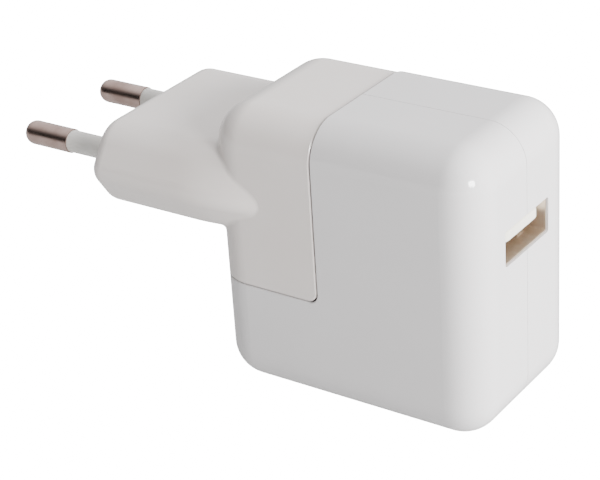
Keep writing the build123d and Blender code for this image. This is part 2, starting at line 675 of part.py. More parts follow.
def main():
    """Build every node and write it."""
    os.makedirs("parts", exist_ok=True)
    near, far = half_shells()
    nodes = {
        "near_half_shell": near,
        "far_half_shell": far,
        "locking_stud": locking_stud(),
        "stud_retainer": stud_retainer(),
        "inlet_carrier": inlet_carrier(),
        "inlet_prongs": inlet_prongs(),
        "usb_shell": usb_shell(),
        "usb_tongue": usb_tongue(),
        "usb_contacts": usb_contacts(),
        "plug_housing": plug_housing(),
        "slot_cover": slot_cover(),
        "track_plate": track_plate(),
        "left_latch_leaf": latch_leaf(-1),
        "right_latch_leaf": latch_leaf(1),
        "left_pin": pin_solid(-1),
        "right_pin": pin_solid(1),
        "left_pin_sleeve": pin_sleeve(-1),
        "right_pin_sleeve": pin_sleeve(1),
        "socket_boss": socket_boss(),
        "socket_contacts": socket_contacts(),
        "contact_links": contact_links(),
        "board_link_pins": board_link_pins(),
        "transformer_core": transformer_core(),
        "transformer_bobbin": transformer_bobbin(),
        "transformer_winding": transformer_winding(),
        "bulk_capacitors": can_pair(BULK_CAN, BOARD_TOP),
        "output_capacitors": can_pair(OUTPUT_CAN, USB_TOP),
        "choke_core": choke_core(),
        "choke_windings": choke_windings(),
        "filter_inductor": filter_inductor(),
    }
    nodes.update(boards())
    nodes.update(board_parts())
    for name, shape in nodes.items():
        save(name, shape)


main()
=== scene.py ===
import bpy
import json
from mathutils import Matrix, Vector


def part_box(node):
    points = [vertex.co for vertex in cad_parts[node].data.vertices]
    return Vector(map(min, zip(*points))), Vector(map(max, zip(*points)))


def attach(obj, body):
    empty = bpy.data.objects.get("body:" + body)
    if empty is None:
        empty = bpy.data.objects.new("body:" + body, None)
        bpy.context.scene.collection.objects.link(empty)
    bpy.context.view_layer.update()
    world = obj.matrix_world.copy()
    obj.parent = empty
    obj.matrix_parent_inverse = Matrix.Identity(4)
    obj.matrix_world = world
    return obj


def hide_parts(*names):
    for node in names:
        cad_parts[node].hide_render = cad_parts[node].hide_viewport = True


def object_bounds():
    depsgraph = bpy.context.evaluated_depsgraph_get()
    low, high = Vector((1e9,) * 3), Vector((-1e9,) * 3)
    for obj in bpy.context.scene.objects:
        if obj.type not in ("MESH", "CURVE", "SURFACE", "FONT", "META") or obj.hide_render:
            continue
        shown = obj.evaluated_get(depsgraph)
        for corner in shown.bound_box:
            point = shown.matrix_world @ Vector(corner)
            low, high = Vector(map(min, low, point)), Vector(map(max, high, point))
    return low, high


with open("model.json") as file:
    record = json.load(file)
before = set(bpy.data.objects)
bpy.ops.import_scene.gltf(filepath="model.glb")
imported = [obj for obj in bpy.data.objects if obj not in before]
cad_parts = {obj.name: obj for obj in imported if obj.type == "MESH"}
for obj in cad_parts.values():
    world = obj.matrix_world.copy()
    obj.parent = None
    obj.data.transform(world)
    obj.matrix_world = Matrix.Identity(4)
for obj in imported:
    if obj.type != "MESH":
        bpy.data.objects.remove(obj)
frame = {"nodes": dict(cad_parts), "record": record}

"""A white USB-A wall charger with a slide-off plug head: its finishes, detail pieces, stage and camera.

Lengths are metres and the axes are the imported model's: +X out of the USB receptacle, +Z up.
"""
import json
import logging
import math
from dataclasses import dataclass, field
from enum import Enum
from typing import Any, Optional

import bpy
import numpy as np
from mathutils import Matrix, Vector

LOG = logging.getLogger("charger")
MM = 0.001
CAD_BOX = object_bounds()
# The directions of X, Y and Z.
ALONG = np.eye(3)
# Points round a turned surface: a small joint, any other, a coil or can, the ring core, a scored top.
JOINT_STEPS, ROUND_STEPS, COIL_STEPS, RING_STEPS, TOP_STEPS = 24, 48, 56, 72, 96
# Edges that turn by more than this stay sharp.
SHARP_DEG = 38


def linear(code: str) -> tuple[float, float, float, float]:
    """Turn an sRGB hex colour to linear light.

    Args:
        code: Six hex digits.

    Returns:
        Red, green, blue and an alpha of 1.
    """
    channels = [int(code[i:i + 2], 16) / 255 for i in (0, 2, 4)]
    values = [c / 12.92 if c <= 0.04045 else ((c + 0.055) / 1.055) ** 2.4 for c in channels]
    return (values[0], values[1], values[2], 1.0)


def add(tree: bpy.types.NodeTree, kind: str, settings: Optional[dict[str, Any]] = None,
        values: Optional[dict[Any, Any]] = None, links: Optional[dict[Any, Any]] = None) -> bpy.types.Node:
    """Add one node with its settings, socket values and incoming links.

    Args:
        tree: The node tree.
        kind: The node's type name.
        settings: Attribute name to value.
        values: Input socket to default value.
        links: Input socket to the output socket that feeds it.

    Returns:
        The new node.
    """
    node = tree.nodes.new(kind)
    for name, value in (settings or {}).items():
        setattr(node, name, value)
    for name, value in (values or {}).items():
        node.inputs[name].default_value = value
    for name, source in (links or {}).items():
        tree.links.new(source, node.inputs[name])
    return node


class Texture(Enum):
    """How a surface was made, which sets the shape of its fine relief."""

    MOULDED = "even grain from the mould"
    TURNED = "rings round the X axis from a lathe"
    ROLLED = "long streaks along Z from rolling"
    SPECKLED = "grains of two shades"
    WOUND = "fine wires side by side along Z"
    TRACKED = "copper tracks under a mask"


# How far each way of making stretches its pattern: 1 keeps the grain, 0.02 draws it out fifty times.
STRETCH = {Texture.TURNED: (1.0, 0.02, 0.02), Texture.ROLLED: (1.0, 1.0, 0.04),
           Texture.WOUND: (0.0, 0.0, 1.0)}
EVEN = (1.0, 1.0, 1.0)
# Textures whose relief steers the colour too; on the others a broad mottle steers it.
TWO_TONED = (Texture.SPECKLED, Texture.TRACKED, Texture.WOUND)
# The wave texture runs 20 radians for each unit of its scale.
WAVE_RATE = 20
# Board tracks are the joints of a brick pattern whose unit is four grains, so they run straight and square.
TRACK_GRAINS = 4
TRACK_LAYOUT = {"offset": 0.37, "squash": 1.6}
TRACK_LOOK = {"Mortar Size": 0.03, "Brick Width": 0.9, "Row Height": 0.22, "Color1": (0, 0, 0, 1),
              "Color2": (0.15, 0.15, 0.15, 1), "Mortar": (1, 1, 1, 1)}
# Noise keeps mostly between these two values, so they are spread out to the whole range.
NOISE_SPAN = {"From Min": 0.3, "From Max": 0.7}


@dataclass(frozen=True)
class Finish:
    """One real material: its colours, its gloss and the relief left by the way it was made.

    Sizes are in millimetres. Relief finer than about 0.3 mm is drawn coarser so that it shows.
    """

    name: str
    colour: str
    shade: str
    texture: Texture = Texture.MOULDED
    grain_mm: float = 0.4
    relief_mm: float = 0.004
    mottle_mm: float = 12.0
    rough: tuple[float, float] = (0.35, 0.45)
    metallic: float = 0.0
    ior: Optional[float] = None
    coat: float = 0.0
    coat_rough: float = 0.03
    subsurface: float = 0.0
    soak_mm: tuple[float, float, float] = (1.2, 1.1, 1.0)
    brushed: float = 0.0

    def pattern(self, tree: bpy.types.NodeTree, place: Any) -> Any:
        """Relief height, from 0 to 1, on Object coordinates.

        Args:
            tree: The material's node tree.
            place: The coordinate socket.

        Returns:
            The output socket of the height.
        """
        per_m = 1.0 / (self.grain_mm * MM)
        mapping = add(tree, "ShaderNodeMapping", values={"Scale": STRETCH.get(self.texture, EVEN)},
                      links={"Vector": place})
        spot = {"Vector": mapping.outputs[0]}
        if self.texture is Texture.WOUND:
            wave = add(tree, "ShaderNodeTexWave", {"bands_direction": "Z"},
                       {"Scale": per_m / WAVE_RATE, "Distortion": 0.4, "Detail": 1.0}, spot)
            return wave.outputs["Fac"]
        if self.texture is Texture.SPECKLED:
            return add(tree, "ShaderNodeTexVoronoi", values={"Scale": per_m}, links=spot).outputs["Distance"]
        if self.texture is Texture.TRACKED:
            look = {"Scale": per_m / TRACK_GRAINS, **TRACK_LOOK}
            return add(tree, "ShaderNodeTexBrick", TRACK_LAYOUT, look, spot).outputs["Color"]
        noise = add(tree, "ShaderNodeTexNoise", values={"Scale": per_m, "Detail": 4.0, "Roughness": 0.55},
                    links=spot)
        return noise.outputs["Fac"]

    def build(self) -> bpy.types.Material:
        """Make the material.

        Returns:
            The finished Blender material.
        """
        material = bpy.data.materials.new(self.name)
        material.use_nodes = True
        tree = material.node_tree
        shader = tree.nodes["Principled BSDF"]
        place = add(tree, "ShaderNodeTexCoord").outputs["Object"]
        height = self.pattern(tree, place)
        mottle = add(tree, "ShaderNodeTexNoise",
                     values={"Scale": 1.0 / (self.mottle_mm * MM), "Detail": 3.0, "Roughness": 0.5},
                     links={"Vector": place}).outputs["Fac"]
        spread = add(tree, "ShaderNodeMapRange", values=NOISE_SPAN,
                     links={"Value": height if self.texture in TWO_TONED else mottle})
        tint = add(tree, "ShaderNodeMix", {"data_type": "RGBA"},
                   {"A": linear(self.colour), "B": linear(self.shade)}, {"Factor": spread.outputs["Result"]})
        tree.links.new(tint.outputs["Result"], shader.inputs["Base Color"])
        gloss = add(tree, "ShaderNodeMapRange",
                    values={**NOISE_SPAN, "To Min": self.rough[0], "To Max": self.rough[1]},
                    links={"Value": mottle})
        tree.links.new(gloss.outputs["Result"], shader.inputs["Roughness"])
        bump = add(tree, "ShaderNodeBump", values={"Strength": 1.0, "Distance": self.relief_mm * MM},
                   links={"Height": height})
        tree.links.new(bump.outputs["Normal"], shader.inputs["Normal"])
        shader.inputs["Metallic"].default_value = self.metallic
        if self.ior is not None:
            shader.inputs["IOR"].default_value = self.ior
        shader.inputs["Coat Weight"].default_value = self.coat
        shader.inputs["Coat Roughness"].default_value = self.coat_rough
        shader.inputs["Subsurface Weight"].default_value = self.subsurface
        shader.inputs["Subsurface Radius"].default_value = tuple(depth * MM for depth in self.soak_mm)
        shader.inputs["Subsurface Scale"].default_value = 1.0
        shader.inputs["Anisotropic"].default_value = self.brushed
        return material


# Polycarbonate from a polished mould: high gloss, faint orange peel, a neutral white.
HOUSING_WHITE = Finish("polycarbonate_white", "dfdcdc", "dcd9d9", grain_mm=1.6, relief_mm=0.0015,
                       mottle_mm=14, rough=(0.12, 0.17), ior=1.58, coat=0.5)
# The same polycarbonate from another batch and a duller mould: slightly warmer, softer reflections.
HEAD_WHITE = Finish("polycarbonate_warm_white", "e5deda", "e2dad5", grain_mm=1.6, relief_mm=0.0015,
                    mottle_mm=14, rough=(0.18, 0.25), ior=1.58, coat=0.2)
# Nickel plate on turned brass: a grey metal with lathe rings under the plating; its warm brown tint is a
# painted reflection of brown surroundings.
# The warm brown base and shade colours paint in a reflection of brown surroundings on a neutral grey metal.
NICKEL_PLATE = Finish("nickel_plated_brass", "b8a29a", "a18a82", Texture.TURNED, grain_mm=0.35,
                      relief_mm=0.0012, mottle_mm=3, rough=(0.26, 0.34), metallic=1.0)
# Moulded nylon: satin, slightly creamy, light soaks in a little.
SLEEVE_NYLON = Finish("satin_white_nylon", "e9e6e1", "e3dfd8", grain_mm=0.5, relief_mm=0.003,
                      mottle_mm=4, rough=(0.34, 0.42), ior=1.53, subsurface=0.05)
# Stainless steel off a lathe: bright grey with fine rings that stretch the highlights.
STUD_STEEL = Finish("turned_stainless_steel", "b4b2ae", "a3a19d", Texture.TURNED, grain_mm=0.4,
                    relief_mm=0.002, mottle_mm=3, rough=(0.25, 0.34), metallic=1.0)
# Hardened steel strip as rolled: darker grey, with streaks along its length.
SPRING_STEEL = Finish("rolled_spring_steel", "a6a5a4", "8f8e8d", Texture.ROLLED, grain_mm=0.35,
                      relief_mm=0.002, mottle_mm=5, rough=(0.28, 0.4), metallic=1.0, brushed=0.4)
# Stamped steel sheet with a thin nickel plate: pale and warm, a soft sheen without sharp mirror images.
JACK_STEEL = Finish("stamped_nickel_steel", "efe3d6", "ddccb9", Texture.ROLLED, grain_mm=0.5,
                    relief_mm=0.002, mottle_mm=3, rough=(0.4, 0.5), metallic=1.0)
# Glass-filled polyester, moulded: a creamy white, satin.
TONGUE_WHITE = Finish("moulded_cream_plastic", "f0ede2", "e8e4d6", grain_mm=0.4, relief_mm=0.003,
                      mottle_mm=4, rough=(0.4, 0.5), ior=1.55, subsurface=0.05)
# Flash of gold on stamped contacts: deep yellow and smooth.
CONTACT_GOLD = Finish("gold_plated_contact", "d9a94e", "c8953c", Texture.ROLLED, grain_mm=0.35,
                      relief_mm=0.001, mottle_mm=2, rough=(0.2, 0.3), metallic=1.0)
# Bare brass strip: yellow, streaked by the rolls and a little tarnished.
CONTACT_BRASS = Finish("brass_strip", "c9a45c", "a98545", Texture.ROLLED, grain_mm=0.35,
                       relief_mm=0.002, mottle_mm=3, rough=(0.28, 0.42), metallic=1.0, brushed=0.3)
# Black moulded nylon: near black with a fine eroded grain that kills the gloss.
INLET_BLACK = Finish("black_moulded_nylon", "232324", "2b2b2c", grain_mm=0.4, relief_mm=0.006,
                     mottle_mm=6, rough=(0.42, 0.55), ior=1.53)
# Solder mask over copper: dark green, lighter and raised where a track runs below.
BOARD_GREEN = Finish("solder_mask_green", "14532d", "1f6b3a", Texture.TRACKED, grain_mm=1.2,
                     relief_mm=0.03, mottle_mm=9, rough=(0.3, 0.4), ior=1.5)
# Sintered and ground ferrite: charcoal, matt, speckled with paler grains.
FERRITE = Finish("ground_ferrite", "2a2a2c", "3c3b3b", Texture.SPECKLED, grain_mm=0.5, relief_mm=0.01,
                 mottle_mm=5, rough=(0.5, 0.65))
# Phenolic moulding: brown black and satin.
BOBBIN_BLACK = Finish("phenolic_black", "252220", "2f2b28", grain_mm=0.5, relief_mm=0.006, mottle_mm=6,
                      rough=(0.4, 0.5), ior=1.6)
# Polyester tape drawn tight over wire: strong yellow, ribbed by the turns below it.
WINDING_TAPE = Finish("yellow_polyester_tape", "dcb428", "c79f1c", Texture.WOUND, grain_mm=2.2,
                      relief_mm=0.03, mottle_mm=6, rough=(0.3, 0.4), ior=1.6)
# Copper under clear enamel: red brown metal with tight highlights.
COPPER_WIRE = Finish("enamelled_copper", "b0602c", "944a1e", Texture.ROLLED, grain_mm=0.4,
                     relief_mm=0.002, mottle_mm=2, rough=(0.25, 0.35), metallic=1.0)
# Heat-shrunk PVC: slate blue, smooth, with faint stretch marks.
CAN_SLEEVE = Finish("heat_shrink_sleeve", "2b2f3a", "343945", grain_mm=0.8, relief_mm=0.004, mottle_mm=7,
                    rough=(0.25, 0.35), ior=1.5)
# Dipped epoxy: a bright blue skin with soft lumps from the dip.
DISC_BLUE = Finish("dipped_blue_epoxy", "2b5aa8", "244d92", grain_mm=1.2, relief_mm=0.02, mottle_mm=3,
                   rough=(0.2, 0.3), ior=1.55)
# Fired steatite: ivory, matt, with fine grains.
FUSE_CERAMIC = Finish("ceramic_tube", "d8cfbd", "cbc0ab", Texture.SPECKLED, grain_mm=0.4, relief_mm=0.004,
                      mottle_mm=4, rough=(0.5, 0.6))
# Moulded epoxy with silica filler: black and matt, with a fine speckle.
PACKAGE_BLACK = Finish("epoxy_package", "1f1f20", "29292a", Texture.SPECKLED, grain_mm=0.35,
                       relief_mm=0.006, mottle_mm=3, rough=(0.5, 0.62))
# Rolled aluminium sheet: pale grey with long streaks.
SPREADER_METAL = Finish("rolled_aluminium", "c9c9ca", "b9b9ba", Texture.ROLLED, grain_mm=0.5,
                        relief_mm=0.003, mottle_mm=8, rough=(0.3, 0.42), metallic=1.0, brushed=0.4)
# Polyester film: milky and glossy, slightly wavy.
SHEET_FILM = Finish("polyester_film", "dcd9c8", "d2cebb", grain_mm=2.0, relief_mm=0.003, mottle_mm=10,
                    rough=(0.15, 0.25), ior=1.6)
# Tin over drawn wire, and solder: a soft silver.
POST_TIN = Finish("tinned_post", "c4c3c1", "b2b1af", Texture.ROLLED, grain_mm=0.4, relief_mm=0.002,
                  mottle_mm=2, rough=(0.3, 0.42), metallic=1.0)
# Matt paper under the charger: no gloss and one even tone.
FLOOR_PAPER = Finish("white_paper_floor", "a0a0a0", "a0a0a0", grain_mm=3, relief_mm=0.0, rough=(0.7, 0.8))

SLOT_FINISH = {
    "shell_white": HOUSING_WHITE, "head_white": HEAD_WHITE, "pin_nickel": NICKEL_PLATE,
    "sleeve_white": SLEEVE_NYLON, "stud_steel": STUD_STEEL, "spring_steel": SPRING_STEEL,
    "jack_steel": JACK_STEEL, "tongue_white": TONGUE_WHITE, "contact_gold": CONTACT_GOLD,
    "contact_brass": CONTACT_BRASS, "inlet_black": INLET_BLACK, "board_green": BOARD_GREEN,
    "ferrite": FERRITE, "bobbin_black": BOBBIN_BLACK, "winding_tape": WINDING_TAPE,
    "copper_wire": COPPER_WIRE, "can_sleeve": CAN_SLEEVE, "disc_blue": DISC_BLUE,
    "fuse_body": FUSE_CERAMIC, "package_black": PACKAGE_BLACK, "spreader_aluminium": SPREADER_METAL,
    "sheet_film": SHEET_FILM, "post_tin": POST_TIN,
}


@dataclass
class Dressing:
    """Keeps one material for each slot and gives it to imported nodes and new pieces."""

    made: dict[str, bpy.types.Material] = field(default_factory=dict)

    def material(self, slot_name: str) -> bpy.types.Material:
        """The one material of a slot, made the first time it is asked for.

        Args:
            slot_name: The record's material slot.

        Returns:
            The slot's material.
        """
        if slot_name not in self.made:
            self.made[slot_name] = SLOT_FINISH[slot_name].build()
        return self.made[slot_name]

    def dress_nodes(self) -> None:
        """Assign each node's finish to its object's material slots."""
        for row in frame["record"]["subparts"]:
            node = frame["nodes"][row["node"]]
            for index in range(len(node.material_slots)):
                node.material_slots[index].material = self.material(row["material_slot"])
            LOG.info("dressed %s in %s", row["node"], row["material_slot"])


@dataclass(frozen=True)
class Skin:
    """A closed surface: its points and its faces, each a tuple of point numbers."""

    points: np.ndarray
    faces: list[tuple[int, ...]]

    def outward(self) -> "Skin":
        """Turn the faces so that the volume inside is positive.

        The volume is a sixth of the sum, over each face's fan of triangles, of p0 . (p1 x p2).

        Returns:
            The same skin, or its copy with every face turned over.
        """
        volume = 0.0
        for size in {len(face) for face in self.faces}:
            rows = np.array([face for face in self.faces if len(face) == size])
            first = self.points[rows[:, 0]]
            for k in range(1, size - 1):
                pair = np.cross(self.points[rows[:, k]], self.points[rows[:, k + 1]])
                volume += float((first * pair).sum())
        return self if volume >= 0 else Skin(self.points, [face[::-1] for face in self.faces])


def quads(rows: int, columns: int, wrap_rows: bool) -> list[tuple[int, ...]]:
    """Faces of a grid whose columns always close on themselves.

    Args:
        rows: Number of rows.
        columns: Number of columns.
        wrap_rows: Whether the last row joins the first.

    Returns:
        One face of four points for each cell.
    """
    span = rows if wrap_rows else rows - 1
    row, column = np.meshgrid(np.arange(span), np.arange(columns), indexing="ij")
    below, beside = (row + 1) % rows, (column + 1) % columns
    cells = np.stack([row * columns + column, row * columns + beside,
                      below * columns + beside, below * columns + column], axis=-1)
    return [tuple(cell) for cell in cells.reshape(-1, 4).tolist()]


def turned(profile: np.ndarray, centre: np.ndarray, axis: int, steps: int = ROUND_STEPS) -> Skin:
    """Surface of revolution: each profile point (radius, height) goes round the axis once.

    A profile whose ends have radius 0 is closed by a fan at each pole; any other profile is a loop.

    Args:
        profile: Rows of radius and height, in metres.
        centre: A point on the axis, from which the heights count.
        axis: 0, 1 or 2 for X, Y or Z.
        steps: Points round the axis.

    Returns:
        The closed skin.
    """
    poles = profile[0, 0] == 0 and profile[-1, 0] == 0
    rings = profile[1:-1] if poles else profile
    turn = np.linspace(0, 2 * math.pi, steps, endpoint=False)
    grid = np.empty((len(rings), steps, 3))
    grid[:, :, axis] = rings[:, None, 1]
    grid[:, :, (axis + 1) % 3] = rings[:, None, 0] * np.cos(turn)
    grid[:, :, (axis + 2) % 3] = rings[:, None, 0] * np.sin(turn)
    points = grid.reshape(-1, 3)
    faces = quads(len(rings), steps, not poles)
    if poles:
        ends = np.zeros((2, 3))
        ends[:, axis] = profile[[0, -1], 1]
        first, last = len(points), len(points) + 1
        top = (len(rings) - 1) * steps
        around = [(k, (k + 1) % steps) for k in range(steps)]
        faces += [(first, b, a) for a, b in around] + [(last, top + a, top + b) for a, b in around]
        points = np.concatenate([points, ends])
    return Skin(points + centre, faces).outward()


def carried(path: np.ndarray, section: np.ndarray, side: np.ndarray) -> Skin:
    """A section carried along a path: point = path + a * side + b * (tangent x side).

    Args:
        path: Points of the path, in metres.
        section: Rows of (a, b), a closed outline round the path.
        side: One direction, or one for each path point, that the outline's first axis follows.

    Returns:
        The skin, with a flat face at each end.
    """
    tangent = np.gradient(path, axis=0)
    tangent /= np.linalg.norm(tangent, axis=1, keepdims=True)
    across = np.broadcast_to(side, path.shape) - (tangent * side).sum(1, keepdims=True) * tangent
    across = across / np.linalg.norm(across, axis=1, keepdims=True)
    normal = np.cross(tangent, across)
    grid = (path[:, None] + section[None, :, :1] * across[:, None] + section[None, :, 1:] * normal[:, None])
    count = len(section)
    faces = quads(len(path), count, False)
    faces += [tuple(range(count)), tuple(range(len(path) * count - 1, (len(path) - 1) * count - 1, -1))]
    return Skin(grid.reshape(-1, 3), faces).outward()


def round_section(radius: float, steps: int = 10) -> np.ndarray:
    """A circle's outline."""
    turn = np.linspace(0, 2 * math.pi, steps, endpoint=False)
    return radius * np.stack([np.cos(turn), np.sin(turn)], axis=1)


def squared(turn: np.ndarray, power: int) -> np.ndarray:
    """How far a rounded square reaches in a direction: (|cos| ** power + |sin| ** power) ** (-1 / power)."""
    return (np.abs(np.cos(turn)) ** power + np.abs(np.sin(turn)) ** power) ** (-1 / power)


def strip_section(width: float, thick: float, steps: int = 24, power: int = 8) -> np.ndarray:
    """A strip's outline, a superellipse |a/w|^power + |b/t|^power = 1, so that its edges are rolled over.

    Args:
        width: The strip's width.
        thick: Its thickness.
        steps: Points round it.
        power: How square its edges are.

    Returns:
        Rows of (a, b).
    """
    turn = np.linspace(0, 2 * math.pi, steps, endpoint=False) + math.pi / steps
    reach = squared(turn, power)
    return np.stack([width / 2 * np.cos(turn) * reach, thick / 2 * np.sin(turn) * reach], axis=1)


def bent(points: list[tuple[float, float, float]], steps: int = 40) -> np.ndarray:
    """A smooth path through corner points given in millimetres: a Catmull-Rom cubic on each span.

    Args:
        points: The corners.
        steps: Points on each span.

    Returns:
        The path in metres.
    """
    knots = np.array(points, dtype=float) * MM
    ends = np.concatenate([[2 * knots[0] - knots[1]], knots, [2 * knots[-1] - knots[-2]]])
    t = np.linspace(0, 1, steps, endpoint=False)[:, None]
    p0, p1, p2, p3 = (ends[k:len(ends) - 3 + k, None] for k in range(4))
    spans = 0.5 * (2 * p1 + (p2 - p0) * t + (2 * p0 - 5 * p1 + 4 * p2 - p3) * t ** 2
                   + (3 * p1 - p0 - 3 * p2 + p3) * t ** 3)
    return np.concatenate([spans.reshape(-1, 3), knots[-1:]])


@dataclass
class SubAssembly:
    """Base of the sub-assemblies: turns skins into pieces that ride on a body."""

    dressing: Dressing
    body: str = "charger"

    def piece(self, name: str, skins: list[Skin], slot_name: str, replaces: tuple[str, ...] = (),
              body: str = "") -> bpy.types.Object:
        """Make one piece from closed skins.

        Args:
            name: The piece's name.
            skins: Its closed surfaces.
            slot_name: The record's material slot.
            replaces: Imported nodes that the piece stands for.
            body: The body it rides on, when not the sub-assembly's own.

        Returns:
            The new object.
        """
        offsets = np.cumsum([0] + [len(skin.points) for skin in skins])
        faces = [tuple(k + start for k in face) for skin, start in zip(skins, offsets.tolist())
                 for face in skin.faces]
        mesh = bpy.data.meshes.new(name)
        mesh.from_pydata(np.concatenate([skin.points for skin in skins]).tolist(), [], faces)
        mesh.polygons.foreach_set("use_smooth", np.ones(len(faces), dtype=bool))
        mesh.set_sharp_from_angle(angle=math.radians(SHARP_DEG))
        mesh.materials.append(self.dressing.material(slot_name))
        made = bpy.data.objects.new(name, mesh)
        bpy.context.scene.collection.objects.link(made)
        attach(made, body or self.body)
        if replaces:
            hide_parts(*replaces)
        LOG.info("built %s with %d faces", name, len(faces))
        return made


def box_mm(node: str) -> np.ndarray:
    """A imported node's lowest and highest corners, in millimetres."""
    return np.array(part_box(node)) / MM


@dataclass
class UsbReceptacle(SubAssembly):
    """Sprung tabs and contact blades inside the receptacle's folded shell. Sizes in millimetres."""

    sheet: float = 0.25
    opening: float = 5.12
    tab_width: float = 2.0
    tab_offset: float = 3.3
    tab_front: float = 2.6
    tab_length: float = 6.2
    tab_bulge: float = 0.42
    tab_lean: float = 0.8
    tab_power: float = 1.2
    tab_gap: float = 0.02
    tab_steps: int = 48
    blade_width: float = 1.0
    blade_thick: float = 0.2
    blade_rise: float = 0.32
    blade_gap: float = 0.01
    blade_steps: int = 60
    nose_back: float = 1.6
    nose_run: float = 0.75
    # Each blade's Y, and how far it ends behind the longest.
    blade_rows: tuple[tuple[float, float], ...] = ((-3.5, 0.0), (-1.0, 1.0), (1.0, 1.0), (3.5, 0.0))

    def tabs(self) -> None:
        """Four tabs: height = bulge * sin(pi * s ** lean) ** power along the run s."""
        _, high = box_mm("usb_shell")
        top = high[2] - self.sheet
        run = np.linspace(0, 1, self.tab_steps)
        bulge = self.tab_bulge * np.sin(math.pi * run ** self.tab_lean) ** self.tab_power
        section = strip_section(self.tab_width * MM, self.sheet * MM)
        skins = []
        for side in (-1, 1):
            for face, sign in ((top, -1), (top - self.opening, 1)):
                path = np.stack([high[0] - self.tab_front - self.tab_length * run,
                                 np.full_like(run, side * self.tab_offset),
                                 face + sign * (self.sheet / 2 + self.tab_gap + bulge)], axis=1)
                skins.append(carried(path * MM, section, ALONG[1]))
        self.piece("usb_spring_tabs", skins, "jack_steel")

    def blades(self) -> None:
        """Four blades in the tongue's grooves: drop = rise * exp(-((x - nose) / run) ** 2) at the nose."""
        low, high = box_mm("usb_contacts")
        level = high[2] - self.blade_thick / 2 - self.blade_gap
        section = strip_section(self.blade_width * MM, self.blade_thick * MM)
        skins = []
        for y, short in self.blade_rows:
            front = high[0] - short
            run = np.linspace(low[0], front, self.blade_steps)
            nose = np.exp(-(((run - (front - self.nose_back)) / self.nose_run) ** 2))
            path = np.stack([run, np.full_like(run, y), level - self.blade_rise * nose], axis=1)
            skins.append(carried(path * MM, section, ALONG[1]))
        self.piece("usb_contact_blades", skins, "contact_gold", ("usb_contacts",))

    def build(self) -> None:
        """Build the receptacle's inner pieces."""
        self.tabs()
        self.blades()


@dataclass
class LatchPair(SubAssembly):
    """The two spring leaves that snap over the stud's neck. Sizes in millimetres."""

    body: str = "plug_head"
    thick: float = 0.32
    wide: float = 0.8
    shank_y: float = 4.58
    shank_steps: int = 90
    foot_lift: float = 0.1
    foot_out: float = 0.5
    foot_run: float = 1.0
    lobe_in: float = 2.0
    lobe_z: float = 26.6
    lobe_run: float = 1.25
    lobe_power: float = 2.6
    bow_out: float = 0.12
    bow_z: float = 29.0
    bow_run: float = 9.0
    post_y: float = 4.6
    post_drop: float = 1.1
    eye_radius: float = 0.82
    eye_start: float = 0.9
    eye_turn: float = 1.74
    eye_steps: int = 50

    def line(self, side: int, low: np.ndarray, high: np.ndarray) -> np.ndarray:
        """The bent line of one leaf: a straight shank with three bumps, then a circle round its post.

        With z the height, the shank's distance from the middle is shank_y - lobe + foot + bow, where
        lobe = lobe_in * exp(-|(z - lobe_z) / run| ** power), foot = foot_out * exp(-((z - low) / run) ** 2)
        and bow = bow_out * sin(pi * (z - bow_z) / run) above bow_z.

        Args:
            side: -1 or 1 for the left or the right leaf.
            low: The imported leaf's lowest corner.
            high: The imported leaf's highest corner.

        Returns:
            The line in metres.
        """
        x = (low[0] + high[0]) / 2
        post_z = high[2] - self.post_drop
        z = np.linspace(low[2] + self.foot_lift, post_z - self.eye_radius * self.eye_start, self.shank_steps)
        lobe = self.lobe_in * np.exp(-np.abs((z - self.lobe_z) / self.lobe_run) ** self.lobe_power)
        foot = self.foot_out * np.exp(-(((z - low[2]) / self.foot_run) ** 2))
        bow = self.bow_out * np.sin((z - self.bow_z) / self.bow_run * math.pi) * (z > self.bow_z)
        shank = np.stack([np.full_like(z, x), side * (self.shank_y - lobe + foot + bow), z], axis=1)
        turn = np.linspace(0, self.eye_turn, self.eye_steps) * math.pi
        eye = np.stack([np.full_like(turn, x), side * (self.post_y + self.eye_radius * np.sin(turn)),
                        post_z - self.eye_radius * np.cos(turn)], axis=1)
        return np.concatenate([shank, eye]) * MM

    def build(self) -> None:
        """Build both leaves, each on its own body."""
        section = strip_section(self.wide * MM, self.thick * MM)
        for side, name in ((-1, "left"), (1, "right")):
            leaf = carried(self.line(side, *box_mm(f"{name}_latch_leaf")), section, ALONG[0])
            self.piece(f"{name}_spring_leaf", [leaf], "spring_steel", (f"{name}_latch_leaf",), f"{name}_leaf")


